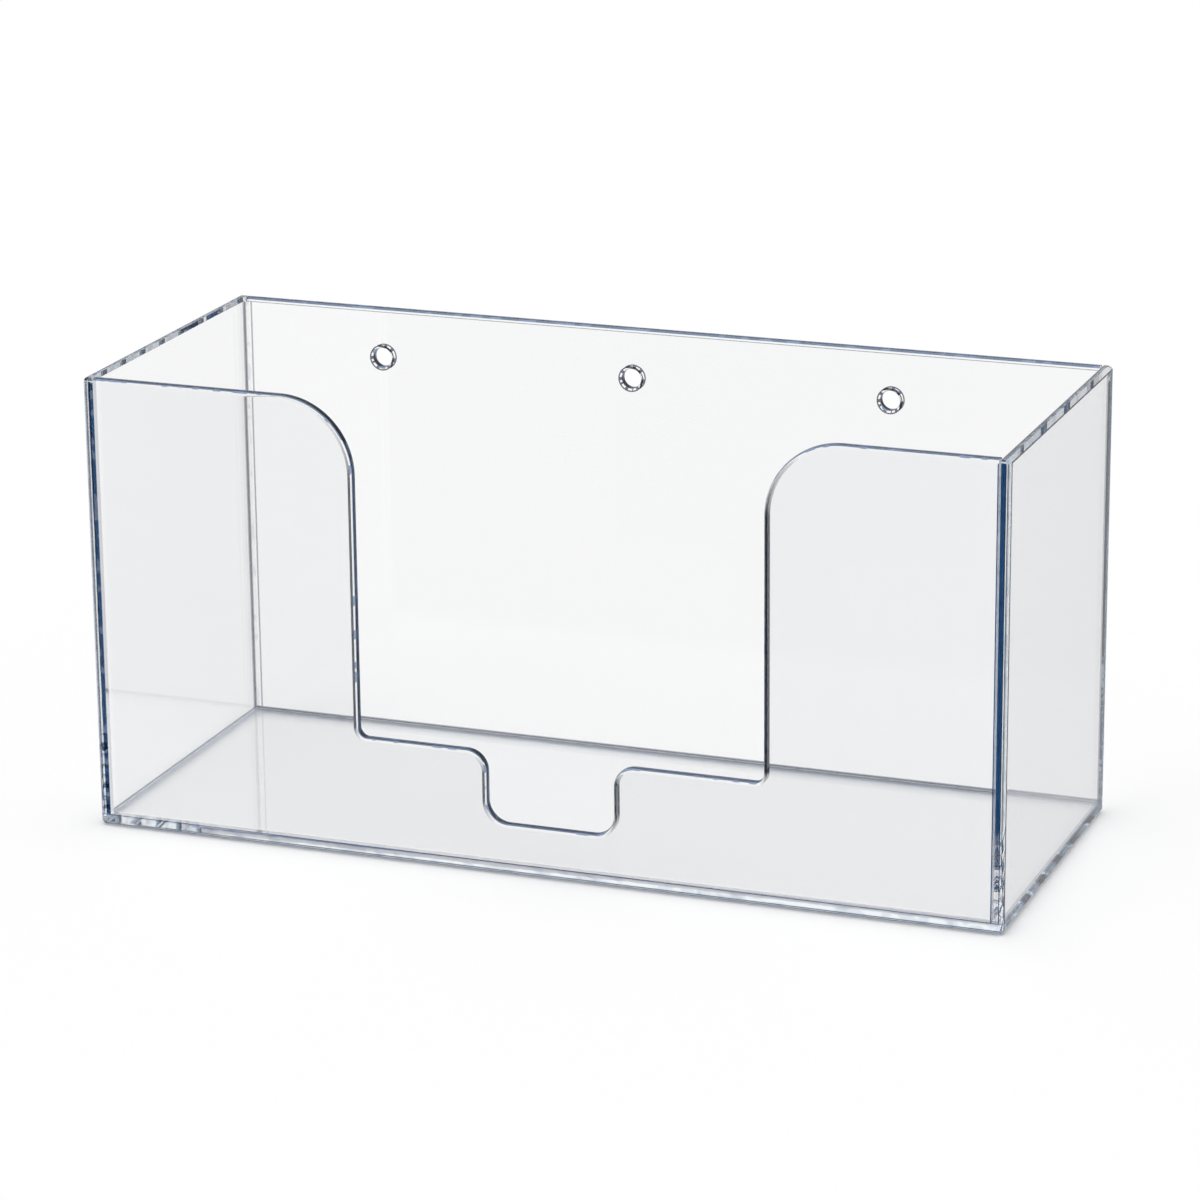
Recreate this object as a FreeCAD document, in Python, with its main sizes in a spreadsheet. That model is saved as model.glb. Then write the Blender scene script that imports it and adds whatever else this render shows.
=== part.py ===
# Wipe dispenser: an open-topped box of clear sheet with a cut-away front, screwed to a wall through its back.
# Frame: X runs along the wall, Y from the front to the wall, Z is up, and the origin lies under the middle of the base.
# Five flat sheets make it. The base lies under all four walls, the side walls run the full depth,
# and the front and back walls stand between them.

import FreeCAD, Part
import Sketcher
import os

doc = FreeCAD.newDocument("wipe_dispenser")

# Driving dimensions, in millimetres
sizes = doc.addObject("Spreadsheet::Sheet", "sizes")
driving = (
    ("overall_width", 260, "outside, along the wall"),
    ("overall_depth", 102, "outside, from the front to the wall"),
    ("overall_height", 128, "outside, from the underside to the rim"),
    ("sheet_thickness", 3.2, "all five sheets"),
    ("corner_radius", 1.4, "upright outer corners, in plan"),
    ("edge_ease", 1.2, "rounding that polishing leaves on a free edge"),
    ("opening_width", 115.4, "between the upright sides of the front opening"),
    ("opening_offset", 6.5, "middle of the opening from the middle of the box"),
    ("opening_sill", 34.2, "underside to the opening's lower edge"),
    ("opening_top_radius", 21, "where the rim turns down into the opening"),
    ("opening_bottom_radius", 2.6, "lower corners of the opening"),
    ("notch_width", 36.2, "finger notch in the sill"),
    ("notch_offset", 4.1, "middle of the notch from the middle of the box"),
    ("notch_floor", 14.2, "underside to the notch's lower edge"),
    ("notch_top_radius", 6, "where the sill turns down into the notch"),
    ("notch_bottom_radius", 6, "lower corners of the notch"),
    ("hole_count", 3, "screw holes in one row"),
    ("hole_diameter", 5.5, "clears a 5 mm screw"),
    ("hole_spacing", 76, "centre to centre"),
    ("hole_drop", 14.6, "rim to the hole centres"),
    ("hole_row_offset", -8.4, "middle of the row from the middle of the box"),
    ("hole_ease", 1, "rounding of the hole rims"),
)
for row, (alias, number, note) in enumerate(driving, start=1):
    sizes.set(f"A{row}", alias)
    sizes.set(f"B{row}", str(number))
    sizes.set(f"C{row}", note)
    sizes.setAlias(f"B{row}", alias)
doc.recompute()

# Places that more than one sheet takes its size from
HALF_WIDTH = "sizes.overall_width / 2"
HALF_DEPTH = "sizes.overall_depth / 2"
HALF_INSIDE = "(sizes.overall_width / 2 - sizes.sheet_thickness)"
WALL_HEIGHT = "(sizes.overall_height - sizes.sheet_thickness)"
THICKNESS = "sizes.sheet_thickness"
SAME_PLACE = 1e-6


def value_of(expression):
    return float(sizes.evalExpression(expression))


def new_sheet(label, x="0", y="0", z="0"):
    body = doc.addObject("PartDesign::Body", label)
    body.Label = label
    for axis, expression in (("x", x), ("y", y), ("z", z)):
        body.setExpression(f"Placement.Base.{axis}", expression)
    return body


def new_sketch(body, name, role):
    plane = next(feature for feature in body.Origin.OriginFeatures if feature.Role == role)
    sketch = body.newObject("Sketcher::SketchObject", name)
    sketch.AttachmentSupport = [(plane, "")]
    sketch.MapMode = "FlatFace"
    return sketch


def hold(sketch, kind, geometry, expression):
    # kind is DistanceX or DistanceY, from the sketch's origin to the start of that piece of geometry
    point = 3 if isinstance(sketch.Geometry[geometry], Part.Circle) else 1
    index = sketch.addConstraint(Sketcher.Constraint(kind, -1, 1, geometry, point, value_of(expression)))
    sketch.setExpression(f"Constraints[{index}]", expression)


def draw_outline(sketch, corners):
    # corners are pairs of expressions, joined by level and upright lines in turn
    count = len(corners)
    points = [FreeCAD.Vector(value_of(across), value_of(up), 0) for across, up in corners]
    for start in range(count):
        end = (start + 1) % count
        sketch.addGeometry(Part.LineSegment(points[start], points[end]), False)
    for start, (across, up) in enumerate(corners):
        end = (start + 1) % count
        level = up == corners[end][1]
        sketch.addConstraint(Sketcher.Constraint("Coincident", start, 2, end, 1))
        sketch.addConstraint(Sketcher.Constraint("Horizontal" if level else "Vertical", start))
        if level:
            hold(sketch, "DistanceY", start, up)
        else:
            hold(sketch, "DistanceX", start, across)


def draw_rectangle(sketch, left, bottom, right, top):
    draw_outline(sketch, ((left, bottom), (right, bottom), (right, top), (left, top)))


def pad_sheet(body, sketch, name):
    pad = body.newObject("PartDesign::Pad", name)
    pad.Profile = sketch
    pad.setExpression("Length", THICKNESS)
    doc.recompute()
    return pad


def cut_through(body, sketch, name):
    before = body.Shape.Volume
    pocket = body.newObject("PartDesign::Pocket", name)
    pocket.Profile = sketch
    pocket.Type = "ThroughAll"
    pocket.SideType = "Symmetric"
    doc.recompute()
    if body.Shape.Volume > before - 1:
        raise RuntimeError(f"{name} cuts nothing")
    return pocket


def on_plane(edge, axis, place):
    box = edge.BoundBox
    low, high = getattr(box, axis + "Min"), getattr(box, axis + "Max")
    return abs(low - place) < SAME_PLACE and abs(high - place) < SAME_PLACE


def along(edge, axis):
    # true for a straight edge that runs along one axis
    return all(on_plane(edge, other, edge.Vertexes[0].Point["XYZ".index(other)]) for other in "XYZ" if other != axis)


def round_edges(body, name, radius, wanted):
    base = body.Tip
    fillet = body.newObject("PartDesign::Fillet", name)
    fillet.Base = (base, [f"Edge{i}" for i, edge in enumerate(base.Shape.Edges, start=1) if wanted(edge)])
    fillet.setExpression("Radius", radius)
    doc.recompute()
    return fillet


def make_base():
    body = new_sheet("base_panel")
    sketch = new_sketch(body, "base_outline", "XY_Plane")
    draw_rectangle(sketch, "-" + HALF_WIDTH, "-" + HALF_DEPTH, HALF_WIDTH, HALF_DEPTH)
    pad_sheet(body, sketch, "base_sheet")
    round_edges(body, "base_corners", "sizes.corner_radius", lambda edge: along(edge, "Z"))
    round_edges(body, "base_underside", "sizes.edge_ease", lambda edge: on_plane(edge, "Z", 0))
    return body


def make_side(label, x, outer_face):
    # outer_face is the sheet's own x of the face that looks out of the box
    body = new_sheet(label, x=x, z=THICKNESS)
    sketch = new_sketch(body, label + "_outline", "YZ_Plane")
    draw_rectangle(sketch, "-" + HALF_DEPTH, "0", HALF_DEPTH, WALL_HEIGHT)
    pad_sheet(body, sketch, label + "_sheet")
    outside = value_of(outer_face)
    rim = value_of(WALL_HEIGHT)
    round_edges(body, label + "_corners", "sizes.corner_radius",
                lambda edge: along(edge, "Z") and on_plane(edge, "X", outside))
    round_edges(body, label + "_rim", "sizes.edge_ease", lambda edge: on_plane(edge, "Z", rim))
    return body


def make_back():
    body = new_sheet("back_panel", y=HALF_DEPTH, z=THICKNESS)
    sketch = new_sketch(body, "back_outline", "XZ_Plane")
    draw_rectangle(sketch, "-" + HALF_INSIDE, "0", HALF_INSIDE, WALL_HEIGHT)
    pad_sheet(body, sketch, "back_sheet")

    # the hole nearest the left side, repeated along the row
    row_length = "sizes.hole_spacing * (sizes.hole_count - 1)"
    first_hole = f"sizes.hole_row_offset - {row_length} / 2"
    hole_height = f"{WALL_HEIGHT} - sizes.hole_drop"
    spot = new_sketch(body, "first_hole_centre", "XZ_Plane")
    centre = FreeCAD.Vector(value_of(first_hole), value_of(hole_height), 0)
    spot.addGeometry(Part.Circle(centre, FreeCAD.Vector(0, 0, 1), value_of("sizes.hole_diameter / 2")), False)
    hold(spot, "DistanceX", 0, first_hole)
    hold(spot, "DistanceY", 0, hole_height)
    diameter = spot.addConstraint(Sketcher.Constraint("Diameter", 0, value_of("sizes.hole_diameter")))
    spot.setExpression(f"Constraints[{diameter}]", "sizes.hole_diameter")
    hole = cut_through(body, spot, "screw_hole")
    row = body.newObject("PartDesign::LinearPattern", "screw_hole_row")
    row.Originals = [hole]
    row.Direction = (spot, ["H_Axis"])
    row.setExpression("Length", row_length)
    row.setExpression("Occurrences", "sizes.hole_count")
    body.Tip = row
    doc.recompute()

    rim = value_of(WALL_HEIGHT)
    round_edges(body, "hole_rims", "sizes.hole_ease",
                lambda edge: isinstance(edge.Curve, Part.Circle))
    round_edges(body, "back_rim", "sizes.edge_ease",
                lambda edge: along(edge, "X") and on_plane(edge, "Z", rim))
    return body


def make_front():
    body = new_sheet("front_panel", y=f"{THICKNESS} - {HALF_DEPTH}", z=THICKNESS)
    sketch = new_sketch(body, "front_outline", "XZ_Plane")
    draw_rectangle(sketch, "-" + HALF_INSIDE, "0", HALF_INSIDE, WALL_HEIGHT)
    pad_sheet(body, sketch, "front_sheet")

    # the opening is open at the rim, so its outline ends above the sheet
    left = "sizes.opening_offset - sizes.opening_width / 2"
    right = "sizes.opening_offset + sizes.opening_width / 2"
    notch_left = "sizes.notch_offset - sizes.notch_width / 2"
    notch_right = "sizes.notch_offset + sizes.notch_width / 2"
    above = f"{WALL_HEIGHT} + sizes.sheet_thickness"
    sill = "sizes.opening_sill - sizes.sheet_thickness"
    notch_floor = "sizes.notch_floor - sizes.sheet_thickness"
    opening = new_sketch(body, "opening_outline", "XZ_Plane")
    draw_outline(opening, (
        (left, above), (left, sill), (notch_left, sill), (notch_left, notch_floor),
        (notch_right, notch_floor), (notch_right, sill), (right, sill), (right, above),
    ))
    cut_through(body, opening, "opening")

    def corner_of(sides, level):
        places = [value_of(side) for side in sides]
        height = value_of(level)
        return lambda edge: (along(edge, "Y") and on_plane(edge, "Z", height)
                             and any(on_plane(edge, "X", place) for place in places))

    for name, radius, sides, level in (
        ("rim_corners", "sizes.opening_top_radius", (left, right), WALL_HEIGHT),
        ("opening_corners", "sizes.opening_bottom_radius", (left, right), sill),
        ("notch_shoulders", "sizes.notch_top_radius", (notch_left, notch_right), sill),
        ("notch_corners", "sizes.notch_bottom_radius", (notch_left, notch_right), notch_floor),
    ):
        round_edges(body, name, radius, corner_of(sides, level))

    end = value_of(HALF_INSIDE)

    def on_free_rim(edge):
        on_face = on_plane(edge, "Y", 0) or on_plane(edge, "Y", -value_of(THICKNESS))
        cemented = on_plane(edge, "Z", 0) or on_plane(edge, "X", end) or on_plane(edge, "X", -end)
        return on_face and not cemented

    round_edges(body, "front_rim", "sizes.edge_ease", on_free_rim)
    return body


panels = [
    make_base(),
    make_side("left_side_panel", "-" + HALF_WIDTH, "0"),
    make_side("right_side_panel", f"{HALF_WIDTH} - {THICKNESS}", THICKNESS),
    make_back(),
    make_front(),
]
doc.recompute()

for item in doc.Objects:
    if "Invalid" in item.State or "Error" in item.State:
        raise RuntimeError(f"{item.Name} failed: {item.State}")
for panel in panels:
    if panel.Shape.isNull() or not panel.Shape.isValid() or len(panel.Shape.Solids) != 1:
        raise RuntimeError(f"{panel.Label} is not one valid solid")

os.makedirs("parts", exist_ok=True)
for panel in panels:
    panel.Shape.exportStep(f"parts/{panel.Label}.step")
    box = panel.Shape.optimalBoundingBox(False)
    print(f"{panel.Label}: {panel.Shape.Volume / 1000:.2f} cm3, "
          f"x {box.XMin:.2f} to {box.XMax:.2f}, y {box.YMin:.2f} to {box.YMax:.2f}, z {box.ZMin:.2f} to {box.ZMax:.2f}")
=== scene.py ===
from math import acos, atan2, cos, degrees, hypot, pi, radians, sin

import bmesh
import bpy
from mathutils import Matrix, Vector


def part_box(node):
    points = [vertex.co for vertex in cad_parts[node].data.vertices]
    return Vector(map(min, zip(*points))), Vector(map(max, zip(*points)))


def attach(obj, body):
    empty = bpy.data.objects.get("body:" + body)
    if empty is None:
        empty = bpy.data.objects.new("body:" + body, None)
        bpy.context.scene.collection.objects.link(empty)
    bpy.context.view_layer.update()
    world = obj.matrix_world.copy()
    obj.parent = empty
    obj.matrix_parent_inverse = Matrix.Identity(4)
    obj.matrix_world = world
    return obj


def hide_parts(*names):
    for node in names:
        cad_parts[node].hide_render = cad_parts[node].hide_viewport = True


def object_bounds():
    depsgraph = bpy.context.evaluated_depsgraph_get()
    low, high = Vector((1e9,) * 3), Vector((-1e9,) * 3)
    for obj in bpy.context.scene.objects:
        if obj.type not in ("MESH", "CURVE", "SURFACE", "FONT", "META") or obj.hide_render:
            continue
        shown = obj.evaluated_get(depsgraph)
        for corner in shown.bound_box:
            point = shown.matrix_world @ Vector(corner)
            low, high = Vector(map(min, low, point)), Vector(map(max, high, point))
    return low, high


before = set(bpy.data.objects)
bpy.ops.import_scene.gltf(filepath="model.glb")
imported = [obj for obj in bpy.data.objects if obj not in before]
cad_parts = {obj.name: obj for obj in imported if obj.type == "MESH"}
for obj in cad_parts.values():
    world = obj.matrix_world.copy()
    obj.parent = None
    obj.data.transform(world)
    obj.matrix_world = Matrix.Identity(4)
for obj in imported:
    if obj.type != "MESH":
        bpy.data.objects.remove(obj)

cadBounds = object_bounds()
scene = bpy.context.scene
axisX, axisY, axisZ = range(3)

sheet = {"edgeEase": 0.0012, "outerCorner": 0.0014, "steps": 8,
         "touch": 0.000001,    # places closer than this count as one
         "cementGap": 0.00002,    # cemented faces stop this far short, so no two of them lie in one plane
         "roundFrom": 20,    # degrees between two faces, from which an edge can be rounded
         "smoothTo": 40,     # degrees between two faces, up to which shading runs on over the edge
         "cutFrom": 38}      # degrees off the sheet's flat, from which a face counts as sawn and polished

# painted shade: dark, steel, navy, grey and pale colours put on roundings, face strips and joint faces for
# the dark lines and bands that reflections draw at a clear sheet's edges; cement is also a dark joint line,
# and plain is no shade
tones = {"plain": (1, 1, 1), "cement": (0.02, 0.03, 0.06), "steel": (0.05, 0.08, 0.16),
         "line": (0.03, 0.032, 0.04), "grey": (0.2, 0.2, 0.22), "black": (0.004, 0.004, 0.008),
         "navy": (0.002, 0.01, 0.045), "pale": (0.5, 0.52, 0.56), "mid": (0.22, 0.23, 0.26)}


def near(value, target):
    return abs(value - target) < sheet["touch"]


def within(value, span):
    return span[0] < value < span[1]


def onPlane(part, axis, target):
    # whether all corners of an edge or a face lie at one place along an axis
    return all(near(vert.co[axis], target) for vert in part.verts)


def lean(face, axis):
    # degrees between the face's normal and the sheet's own thickness
    return degrees(acos(min(1, abs(face.normal[axis]))))


def plateBetween(low, high):
    # a rectangle, as an outline in the sheet's own plane
    left, bottom, right, top = low[0], low[1], high[0], high[1]
    return [Vector(corner) for corner in ((left, bottom), (right, bottom), (right, top), (left, top))]


def roundedOutline(corners, steps):
    # corners are (across, up, radius); a radius of 0 keeps the corner square
    points = []
    for i, (x, z, radius) in enumerate(corners):
        here = Vector((x, z))
        if radius == 0:
            points.append(here)
            continue
        before = (Vector(corners[i - 1][:2]) - here).normalized()
        after = (Vector(corners[(i + 1) % len(corners)][:2]) - here).normalized()
        centre = here + (before + after) * radius
        for step in range(steps + 1):
            turn = step / steps * pi / 2
            points.append(centre - after * radius * cos(turn) - before * radius * sin(turn))
    return points


def sheetFromFaces(name, faces, place, thicknessWay):
    # faces are outlines in the sheet's own plane; place turns (across, up) into a point of its first face
    mesh = bpy.data.meshes.new(name)
    bm = bmesh.new()
    known = {}
    for outline in faces:
        verts = []
        for point in outline:
            key = (round(point.x, 8), round(point.y, 8))
            if key not in known:
                known[key] = bm.verts.new(place(*point))
            verts.append(known[key])
        bm.faces.new(verts)
    grown = bmesh.ops.extrude_face_region(bm, geom=bm.faces[:])
    moved = [item for item in grown["geom"] if isinstance(item, bmesh.types.BMVert)]
    bmesh.ops.translate(bm, verts=moved, vec=thicknessWay)
    bmesh.ops.recalc_face_normals(bm, faces=bm.faces[:])
    return mesh, bm


def roundOff(bm, radius, wanted):
    sharp = radians(sheet["roundFrom"])
    edges = [edge for edge in bm.edges if edge.calc_face_angle(0) > sharp and wanted(edge)]
    bmesh.ops.bevel(bm, geom=edges, offset=radius, offset_type="OFFSET", segments=sheet["steps"], profile=0.5,
                    affect="EDGES", clamp_overlap=True)


def splitAt(bm, axis, places):
    # cuts the faces along planes square to an axis, so that a strip of a face can have its own tone
    normal = Vector((0, 0, 0))
    normal[axis] = 1
    for place in places:
        bmesh.ops.bisect_plane(bm, geom=bm.verts[:] + bm.edges[:] + bm.faces[:], dist=1e-7,
                               plane_co=normal * place, plane_no=normal)


def finishSheet(mesh, bm, node, flatAxis, cutShade, clearnessOf, paintedShadeOf):
    # cemented is how clear a face is, which is 1 where a joint hides it; cutEdge is how much painted shade a
    # sawn and polished face gets; the colour layer holds the painted shade of a rounding, a joint line or a
    # strip of a face
    cemented, cutEdge = (bm.faces.layers.float.new(name) for name in ("cemented", "cutEdge"))
    paintedEdgeShade = bm.faces.layers.float_color.new("paintedEdgeShade")
    for face in bm.faces:
        clearness, tone = clearnessOf(face), paintedShadeOf(face)
        if tone is None:
            # the dark cement tone on partly clear faces is a dark joint line at the joints, and painted shade
            # on the side walls' rim flanks and on the right wall's rear edge strip
            tone = tones["cement"] if clearness else tones["plain"]
        face[cemented] = clearness
        face[cutEdge] = cutShade if lean(face, flatAxis) > sheet["cutFrom"] else 0.0
        face[paintedEdgeShade] = (*tone, 1)
    bm.to_mesh(mesh)
    bm.free()
    mesh.shade_smooth()
    mesh.set_sharp_from_angle(angle=radians(sheet["smoothTo"]))
    piece = bpy.data.objects.new(mesh.name, mesh)
    scene.collection.objects.link(piece)
    weighted = piece.modifiers.new("flatFaces", "WEIGHTED_NORMAL")    # keeps the flats flat
    weighted.keep_sharp = True
    weighted.weight = 100
    mesh.materials.append(clearAcrylic)
    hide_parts(node)
    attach(piece, "root")
    print("sheet", piece.name, len(mesh.polygons), "faces")


def nodeTools(owner):
    # empties the owner's nodes and returns what adds new ones: any node, a sum and a mix of two tones
    owner.use_nodes = True
    nodes, links = owner.node_tree.nodes, owner.node_tree.links
    nodes.clear()

    def add(kind, inputs, **settings):
        # inputs holds a number, a tone or another node's output for each socket
        node = nodes.new("ShaderNode" + kind)
        for name, value in settings.items():
            setattr(node, name, value)
        for key, value in inputs.items():
            if isinstance(value, bpy.types.NodeSocket):
                links.new(value, node.inputs[key])
            else:
                node.inputs[key].default_value = (*value, 1) if isinstance(value, tuple) else value
        return node

    def maths(kind, first, second):
        return add("Math", {0: first, 1: second}, operation=kind).outputs[0]

    def blend(amount, first, second):
        return add("Mix", {0: amount, 6: first, 7: second}, data_type="RGBA").outputs[2]

    return add, maths, blend


acrylic = {"ior": 1.49, "tint": (0.55, 0.78, 0.92), "density": 2.0,
           "hazeScale": 60, "hazeDetail": 1, "hazeSpan": (0.35, 0.75), "roughness": (0.0, 0.012),
           "paintedReflectionShade": (0.08, 0.12, 0.22), "rippleScale": 150, "rippleDetail": 1, "rippleDepth": 0.00008,
           "streakScale": 260, "streakDetail": 0.5, "streakSpan": (0.57, 0.62),
           "paintedStreakShade": (0.09, 0.15, 0.3)}


def makeAcrylic():
    material = bpy.data.materials.new("clearCastAcrylic")
    add, maths, blend = nodeTools(material)
    coords = add("TexCoord", {}).outputs["Object"]

    def noise(name):
        inputs = {"Vector": coords, "Scale": acrylic[name + "Scale"], "Detail": acrylic[name + "Detail"]}
        return add("TexNoise", inputs).outputs["Fac"]

    def faceValue(name, output="Fac"):
        return add("Attribute", {}, attribute_name=name).outputs[output]

    def spanned(value, span, result=(0.0, 1.0)):
        ends = {"From Min": span[0], "From Max": span[1], "To Min": result[0], "To Max": result[1]}
        return add("MapRange", {"Value": value, **ends}).outputs["Result"]

    cut = faceValue("cutEdge")
    solid = maths("SUBTRACT", 1.0, faceValue("cemented"))    # cement of the same index hides a joint's faces
    paintedStreaks = maths("MULTIPLY", spanned(noise("streak"), acrylic["streakSpan"]), cut)    # painted streaks of dark blue shade on the sawn faces, for the streaky reflections along their edges
    ripple = maths("MULTIPLY", noise("ripple"), cut)
    shader = add("BsdfPrincipled", {
        "Base Color": blend(paintedStreaks, faceValue("paintedEdgeShade", "Color"), acrylic["paintedStreakShade"]),
        "Transmission Weight": 1.0, "IOR": acrylic["ior"], "Alpha": solid,
        "Roughness": spanned(noise("haze"), acrylic["hazeSpan"], acrylic["roughness"]),
        # painted shade: the sawn faces' reflections are tinted dark blue, so their edges show dark lines
        "Specular Tint": blend(cut, tones["plain"], acrylic["paintedReflectionShade"]),
        "Normal": add("Bump", {"Distance": acrylic["rippleDepth"], "Height": ripple}).outputs["Normal"]})
    depth = add("VolumeAbsorption", {"Color": acrylic["tint"], "Density": acrylic["density"]})
    add("OutputMaterial", {"Surface": shader.outputs["BSDF"], "Volume": depth.outputs["Volume"]})
    return material


clearAcrylic = makeAcrylic()
print("material ready")


basePlate = {"paintedTopLine": 0.0003,    # height of the painted shade line at the top of the edge
             "cutShade": 0.3, "upright": 0.1, "footSpan": (-0.999, -0.6)}    # by the slope of a face


def makeBase():
    low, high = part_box("base_panel")
    left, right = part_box("front_panel")[0].x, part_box("back_panel")[1].x
    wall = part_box("front_panel")[1].y - low.y
    front, back = low.y + wall, high.y - wall
    corners = [(*corner, sheet["outerCorner"]) for corner in plateBetween(low, high)]
    around = roundedOutline(corners, sheet["steps"])
    frontHalf = [point for point in around if point.y < 0]
    backHalf = [point for point in around if point.y > 0]
    west, east, inWest, inEast = (Vector((x, 0)) for x in (low.x, high.x, left, right))
    frontLeft, frontRight, backRight, backLeft = plateBetween((left, front), (right, back))
    faces = [[west] + frontHalf + [east, inEast, frontRight, frontLeft, inWest],
             [east] + backHalf + [west, inWest, backLeft, backRight, inEast],
             [frontLeft, frontRight, inEast, backRight, backLeft, inWest]]
    mesh, bm = sheetFromFaces("basePanel", faces, lambda x, y: (x, y, low.z), (0, 0, high.z - low.z))
    roundOff(bm, sheet["edgeEase"], lambda edge: onPlane(edge, axisZ, low.z))
    paintedTopLine = high.z - basePlate["paintedTopLine"]
    splitAt(bm, axisZ, [paintedTopLine])

    def clearness(face):
        underWall = onPlane(face, axisZ, high.z) and any(vert.co.x < left - 1e-5 for vert in face.verts)
        return 1.0 if underWall else 0.0

    def tone(face):
        # painted shade: a steel line along the top of the upright edges, and a dark line on the rounding
        # underneath
        if abs(face.normal.z) < basePlate["upright"]:
            return tones["steel"] if face.calc_center_median().z > paintedTopLine else None
        return tones["line"] if within(face.normal.z, basePlate["footSpan"]) else None

    finishSheet(mesh, bm, "base_panel", axisZ, basePlate["cutShade"], clearness, tone)


sideWall = {"jointBand": 0.00125, "fillet": 0.0016, "footBand": 0.0012,    # strips that get painted shade where the joints show
            "rimClearness": 0.7, "footClearness": 0.85, "cutShade": 0.3,
            "flat": 0.999, "topLevel": 0.3, "under": -0.5,    # by the slope of a face, as all that follow
            "topFlat": (-0.02, 0.05), "topFlank": (0.05, 0.95), "topLine": (0.95, 0.999), "rear": 0.9,
            "upright": 0.1, "rearLine": (0.3, 0.9), "frontLines": ((0.93, 0.999), (0.01, 0.25))}


def makeSide(name, node, outward, paintedBandShade):
    # the band shade is navy painted shade on the front edge in front of the joint, or None where none is
    # painted
    low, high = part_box(node)
    wall = high.x - low.x
    bottom = low.z + sheet["cementGap"]
    foot = bottom + sideWall["footBand"]
    stops = [low.y, low.y + wall, high.y - wall - sideWall["fillet"], high.y - wall, high.y]
    faces = [plateBetween((start, bottom), (end, high.z)) for start, end in zip(stops, stops[1:])]
    inner, outer = (high.x, low.x) if outward < 0 else (low.x, high.x)
    mesh, bm = sheetFromFaces(name, faces, lambda y, z: (inner, y, z), (outer - inner, 0, 0))
    roundOff(bm, sheet["outerCorner"],
             lambda edge: onPlane(edge, axisX, outer) and near(edge.verts[0].co.y, edge.verts[1].co.y))
    roundOff(bm, sheet["edgeEase"], lambda edge: onPlane(edge, axisZ, high.z))
    splitAt(bm, axisX, [inner + outward * sideWall["jointBand"]])
    splitAt(bm, axisZ, [foot])

    def clearness(face):
        middle, normal = face.calc_center_median(), face.normal
        if near(middle.x, inner) and not within(middle.y, (stops[1], stops[3])):
            return 1.0
        rear = middle.y > stops[3] and normal.x > sideWall["rear"] and abs(normal.z) < sideWall["upright"]
        flank = normal.z > sideWall["topFlank"][0] and within(normal.x, sideWall["topFlank"])
        if flank or rear and not paintedBandShade:
            return sideWall["rimClearness"]
        return sideWall["footClearness"] if near(middle.z, bottom) else 0.0

    def rimTone(face):
        # painted shade on the top rim: pale on the flat top, black on roundings that face left, and a dark
        # line where the outer rounding starts
        if face.normal.z < sideWall["under"]:
            return None
        if within(face.normal.x, sideWall["topFlat"]):
            return tones["pale"]
        if face.normal.x < 0:
            return tones["black"]
        return tones["line"] if within(face.normal.x, sideWall["topLine"]) else None

    def tone(face):
        # painted shade: grey in the inner corner by the rear joint, a pale band along the inner foot, dark
        # lines where roundings start, and a mid tone on the rear edge
        middle, out = face.calc_center_median(), face.normal.x * outward
        if abs(face.normal.z) > sideWall["topLevel"]:
            return rimTone(face)
        if near(middle.x, inner):
            if within(middle.y, (stops[2], stops[3])):
                return tones["grey"]
            return tones["pale"] if middle.z < foot else None
        if face.normal.y < -sideWall["flat"]:
            return paintedBandShade if abs(middle.x - inner) < sideWall["jointBand"] else None
        if middle.y > stops[3]:
            if within(out, sideWall["rearLine"]):
                return tones["line"]
            return tones["mid"] if paintedBandShade and out > sideWall["flat"] else None
        return tones["line"] if any(within(out, span) for span in sideWall["frontLines"]) else None

    finishSheet(mesh, bm, node, axisX, sideWall["cutShade"], clearness, tone)


def endOrFoot(places):
    # how clear the joint is where a front or back wall stands on the base or against a side wall
    def clearness(face):
        for axis, place, amount in places:
            if onPlane(face, axis, place):
                return amount
        return 0.0
    return clearness


backWall = {"footBand": 0.001, "endBand": (0.0014, 0.0019),    # strips that get painted shade where the joints show
            "endClearness": 0.8, "footClearness": 0.6, "cutShade": 1.0,
            "holeRadius": 0.00275, "holeEase": 0.001, "holeSpacing": 0.076, "holeDrop": 0.0146,
            "rowMiddle": -0.0084, "holeSteps": 32, "patchWaves": (7, 11, 2), "patchFrom": 0.3,
            "flat": 1, "greyTo": 12, "holeLineTo": 24,    # degrees of lean, as are the next two
            "steelFrom": 38, "holeSteelFrom": 60}


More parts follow.
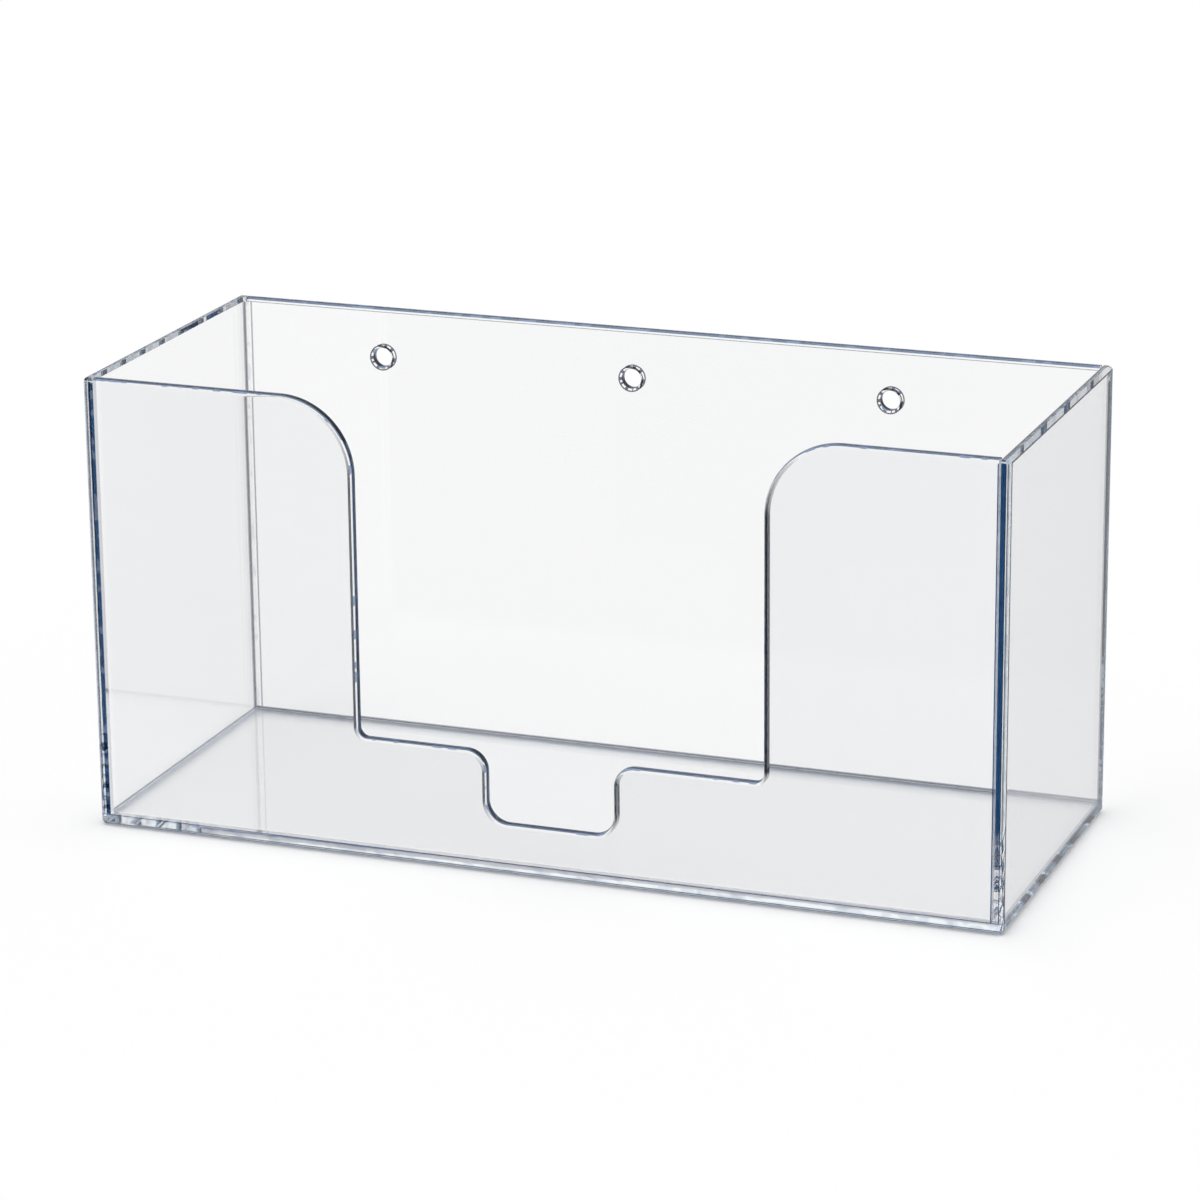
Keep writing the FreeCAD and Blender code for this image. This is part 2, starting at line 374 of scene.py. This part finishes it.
def makeBack():
    low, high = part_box("back_panel")
    left, right = low.x + sheet["cementGap"], high.x - sheet["cementGap"]
    bottom, level = low.z + sheet["cementGap"], high.z - backWall["holeDrop"]
    radius, steps = backWall["holeRadius"], backWall["holeSteps"]
    centres = [backWall["rowMiddle"] + place * backWall["holeSpacing"] for place in (-1, 0, 1)]

    def halfWay(sign):
        # the line through the holes, going over (1) or under (-1) each of them, from left to right
        points = [Vector((left, level))]
        for centre in centres:
            for step in range(steps + 1):
                turn = pi - step / steps * pi
                points.append(Vector((centre + radius * cos(turn), level + sign * radius * sin(turn))))
        return points + [Vector((right, level))]

    above = halfWay(1) + [Vector((right, high.z)), Vector((left, high.z))]
    below = list(reversed(halfWay(-1))) + [Vector((left, bottom)), Vector((right, bottom))]
    mesh, bm = sheetFromFaces("backPanel", [above, below], lambda x, z: (x, low.y, z), (0, high.y - low.y, 0))

    def holeRim(edge):
        flat = onPlane(edge, axisY, low.y) or onPlane(edge, axisY, high.y)
        start = edge.verts[0].co
        return flat and any(hypot(start.x - centre, start.z - level) < radius * 1.01 for centre in centres)

    def topRim(edge):
        return onPlane(edge, axisZ, high.z) and not near(edge.verts[0].co.x, edge.verts[1].co.x)

    roundOff(bm, backWall["holeEase"], holeRim)
    roundOff(bm, sheet["edgeEase"], topRim)
    foot, band = bottom + backWall["footBand"], [left + width for width in backWall["endBand"]]
    splitAt(bm, axisZ, [foot])
    splitAt(bm, axisX, band)

    def holePaintedShade(face, angle):
        # painted shade in the holes: a dark line where the rim starts, dark patches set by waves round the
        # hole, and steel deep in the bore
        turn = atan2(face.normal.z, face.normal.x)
        slow, fast, shift = backWall["patchWaves"]
        patch = sin(slow * turn) + sin(fast * turn + shift) > backWall["patchFrom"]
        if angle < backWall["holeLineTo"] or patch:
            return tones["line"]
        return tones["steel"] if angle > backWall["holeSteelFrom"] else None

    def tone(face):
        # painted shade: a mid band at the foot and ends of the front face, where the joints are, and grey and
        # steel on the top rim
        angle, middle = lean(face, axisY), face.calc_center_median()
        if angle < backWall["flat"]:
            inBand = middle.z < foot or within(middle.x, band)
            return tones["mid"] if inBand and face.normal.y < 0 else None
        if middle.z < high.z - sheet["edgeEase"] * 1.1:    # below the top rim there are only the holes
            return holePaintedShade(face, angle)
        if angle < backWall["greyTo"]:
            return tones["grey"]
        return tones["steel"] if angle > backWall["steelFrom"] else None

    clearness = endOrFoot(((axisX, left, backWall["endClearness"]),
                           (axisX, right, backWall["endClearness"]),
                           (axisZ, bottom, backWall["footClearness"])))
    finishSheet(mesh, bm, "back_panel", axisY, backWall["cutShade"], clearness, tone)


frontWall = {"middle": 0.0065, "width": 0.1154, "sill": 0.0342, "rimRadius": 0.021, "cornerRadius": 0.0026,
             "notchMiddle": 0.0041, "notchWidth": 0.0362, "notchFloor": 0.0142, "notchRadius": 0.006,
             "steps": 28, "rightBand": 0.0003,    # strip that gets navy painted shade at the right joint
             "leftClearness": 0.0, "rightClearness": 0.4, "footClearness": 0.4, "cutShade": 1.0,
             "flat": 1, "lineTo": 35, "levelSteelFrom": 40, "steelFrom": 60,    # degrees of lean
             "levelFrom": 0.5, "lineLevelTo": 0.8}    # 1 on a level edge, 0 on an upright one


def makeFront():
    low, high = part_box("front_panel")
    left, right = low.x + sheet["cementGap"], high.x - sheet["cementGap"]
    bottom, end = low.z + sheet["cementGap"], right - frontWall["rightBand"]
    cutLeft, cutRight = (frontWall["middle"] + side * frontWall["width"] / 2 for side in (-1, 1))
    notchMiddle, notchHalf = frontWall["notchMiddle"], frontWall["notchWidth"] / 2
    notchLeft, notchRight = notchMiddle - notchHalf, notchMiddle + notchHalf
    sill, floor, notch = frontWall["sill"], frontWall["notchFloor"], frontWall["notchRadius"]
    outline = roundedOutline([
        (left, bottom, 0), (end, bottom, 0), (end, high.z, 0), (cutRight, high.z, frontWall["rimRadius"]),
        (cutRight, sill, frontWall["cornerRadius"]), (notchRight, sill, notch), (notchRight, floor, notch),
        (notchLeft, floor, notch), (notchLeft, sill, notch), (cutLeft, sill, frontWall["cornerRadius"]),
        (cutLeft, high.z, frontWall["rimRadius"]), (left, high.z, 0),
    ], frontWall["steps"])
    strip = plateBetween((end, bottom), (right, high.z))
    thickness = (0, high.y - low.y, 0)
    mesh, bm = sheetFromFaces("frontPanel", [outline, strip], lambda x, z: (x, low.y, z), thickness)

    def freeRim(edge):
        flat = onPlane(edge, axisY, low.y) or onPlane(edge, axisY, high.y)
        joints = ((axisZ, bottom), (axisX, left), (axisX, right))
        return flat and not any(onPlane(edge, *joint) for joint in joints)

    roundOff(bm, sheet["edgeEase"], freeRim)

    def tone(face):
        # painted shade: navy on the strip by the right joint, steel on the sawn face's roundings, and dark
        # lines where upright roundings start
        angle, normal = lean(face, axisY), face.normal
        if angle < frontWall["flat"]:
            return tones["navy"] if face.calc_center_median().x > end and normal.y < 0 else None
        level = abs(normal.z) / hypot(normal.x, normal.z)
        if angle > frontWall["levelSteelFrom" if level > frontWall["levelFrom"] else "steelFrom"]:
            return tones["steel"]
        inLine = angle < frontWall["lineTo"] and level < frontWall["lineLevelTo"]
        return Vector(tones["line"]).lerp(Vector(tones["plain"]), level) if inLine else None

    clearness = endOrFoot(((axisX, left, frontWall["leftClearness"]),
                           (axisX, right, frontWall["rightClearness"]),
                           (axisZ, bottom, frontWall["footClearness"])))
    finishSheet(mesh, bm, "front_panel", axisY, frontWall["cutShade"], clearness, tone)


makeBase()
makeSide("leftSidePanel", "left_side_panel", -1, tones["navy"])
makeSide("rightSidePanel", "right_side_panel", 1, None)
makeBack()
makeFront()
print("sheets ready")


sweep = {"size": 8, "level": -0.0003}


def makeFloor():
    bpy.ops.mesh.primitive_plane_add(size=sweep["size"], location=(0, 0, sweep["level"]))
    floor = bpy.context.object
    floor.name = "floor"
    material = bpy.data.materials.new("whiteSweep")
    add, maths, blend = nodeTools(material)
    turns = add("LightPath", {}).outputs["Glossy Depth"]
    reflected = maths("GREATER_THAN", turns, 0.5)    # then the studio's tones show instead
    white = add("BsdfDiffuse", {"Color": tones["plain"]})
    clear = add("BsdfTransparent", {})
    mix = add("MixShader", {0: reflected, 1: white.outputs[0], 2: clear.outputs[0]})
    add("OutputMaterial", {"Surface": mix.outputs[0]})
    floor.data.materials.append(material)


studio = {"skyLevel": 0.95, "sunLevel": 0.05, "sunSpread": 30, "sunTilt": 35, "sunTurn": -30,
          "darkTone": (0.01, 0.03, 0.08), "sheenTone": (0.62, 0.62, 0.64), "rimTone": (0.8, 0.82, 0.86),
          "skyward": (-0.02, 0.05), "wallward": (-0.6, 0.5), "steep": (0.3, 0.45),    # spans of a heading
          "rimFrom": (-0.56, -0.5), "rimTo": (-0.358, -0.355), "rampTurns": 64.0,
          "innerTones": ((0, (1, 1, 1)), (3, (0.02, 0.06, 0.18)), (4, (1, 1, 1)), (5, (0.02, 0.04, 0.1)),
                         (6, (0.006, 0.05, 0.14)), (7, (0.85, 0.8, 0.8)), (8, (1, 1, 1)),
                         (9, (1, 0.97, 0.95)), (10, (0.1, 0.12, 0.16)), (11, (0.02, 0.03, 0.05)),
                         (12, (0.8, 0.8, 0.8)),
                         (13, (0.03, 0.05, 0.1)), (14, (1, 1, 1))),    # by how often the light was reflected
          "bounces": 48, "clearBounces": 32}


def makeWorld():
    world = bpy.data.worlds.new("studio")
    scene.world = world
    add, maths, blend = nodeTools(world)

    def rising(value, span):
        inputs = {"Value": value, "From Min": span[0], "From Max": span[1]}
        return add("MapRange", inputs, interpolation_type="SMOOTHSTEP").outputs["Result"]

    heading = add("SeparateXYZ", {0: add("TexCoord", {}).outputs["Generated"]}).outputs
    rays = add("LightPath", {}).outputs
    turns = rays["Glossy Depth"]

    # not reflected: white, but dark high up, where only bent light comes from
    unseen = maths("SUBTRACT", 1.0, rays["Is Camera Ray"])
    steep = maths("MULTIPLY", rising(heading["Z"], studio["steep"]), unseen)
    direct = blend(steep, tones["plain"], studio["darkTone"])

    # reflected once: pale above and towards the wall, dark towards the room
    pale = maths("MAXIMUM", rising(heading["Z"], studio["skyward"]), rising(heading["Y"], studio["wallward"]))
    once = blend(pale, studio["darkTone"], studio["sheenTone"])

    # reflected more often, inside the sheets: by the count, and one tone for what came in over a side rim
    inner = add("ValToRGB", {0: maths("DIVIDE", turns, studio["rampTurns"])})
    inner.color_ramp.interpolation = "CONSTANT"
    stops = inner.color_ramp.elements
    for count, tone in studio["innerTones"][:-2]:
        stops.new(count / studio["rampTurns"])
    for stop, (count, tone) in zip(stops, studio["innerTones"]):
        stop.position = max(0, (count - 0.5) / studio["rampTurns"])
        stop.color = (*tone, 1)
    overRim = maths("MULTIPLY", rising(heading["Z"], studio["rimFrom"]),
                    maths("SUBTRACT", 1.0, rising(heading["Z"], studio["rimTo"])))
    guided = blend(overRim, inner.outputs[0], studio["rimTone"])

    rarely = blend(maths("LESS_THAN", turns, 0.5), once, direct)
    reflected = blend(maths("LESS_THAN", turns, 1.5), guided, rarely)
    sky = add("Background", {"Color": tones["plain"], "Strength": studio["skyLevel"]})
    clear = maths("MAXIMUM", rays["Is Camera Ray"],
                  maths("MAXIMUM", rays["Is Glossy Ray"], rays["Is Transmission Ray"]))
    unscattered = maths("MULTIPLY", clear, maths("LESS_THAN", rays["Diffuse Depth"], 0.5))
    toned = add("Background", {"Color": reflected})
    mix = add("MixShader", {0: unscattered, 1: sky.outputs[0], 2: toned.outputs[0]})
    add("OutputWorld", {"Surface": mix.outputs[0]})


def makeSun():
    lamp = bpy.data.lights.new("softKey", "SUN")
    lamp.energy = studio["sunLevel"] * pi / cos(radians(studio["sunTilt"]))
    lamp.angle = radians(studio["sunSpread"])
    sun = bpy.data.objects.new("softKey", lamp)
    sun.rotation_euler = (radians(studio["sunTilt"]), 0, radians(studio["sunTurn"]))
    scene.collection.objects.link(sun)


view = {"azimuth": 20.73, "elevation": 17.21, "roll": -0.54, "lens": 140.49, "sensor": 36, "distance": 1.2857,
        "aside": -0.00018, "lift": -0.00073, "clipStart": 0.01}


def makeCamera():
    azimuth, elevation, roll = (radians(view[key]) for key in ("azimuth", "elevation", "roll"))
    right = Vector((cos(azimuth), sin(azimuth), 0))
    back = Vector((sin(azimuth) * cos(elevation), -cos(azimuth) * cos(elevation), sin(elevation)))
    up = back.cross(right)
    across = right * cos(roll) + up * sin(roll)
    upward = up * cos(roll) - right * sin(roll)
    target = Vector((0, 0, (cadBounds[0][2] + cadBounds[1][2]) / 2))
    place = target + across * view["aside"] + upward * view["lift"] + back * view["distance"]
    camera = bpy.data.objects.new("camera", bpy.data.cameras.new("camera"))
    camera.data.lens = view["lens"]
    camera.data.sensor_width = view["sensor"]
    camera.data.clip_start = view["clipStart"]
    scene.collection.objects.link(camera)
    camera.matrix_world = Matrix.Translation(place) @ Matrix((across, upward, back)).transposed().to_4x4()
    scene.camera = camera


makeFloor()
makeWorld()
makeSun()
makeCamera()
scene.view_settings.view_transform = "Standard"
scene.cycles.max_bounces = studio["bounces"]
scene.cycles.glossy_bounces = studio["bounces"]
scene.cycles.transmission_bounces = studio["bounces"]
scene.cycles.transparent_max_bounces = studio["clearBounces"]
scene.cycles.blur_glossy = 0
scene.world.cycles.sampling_method = "NONE"    # the sky is even, so sampling it as a lamp only costs time
print("floor, light and camera ready")
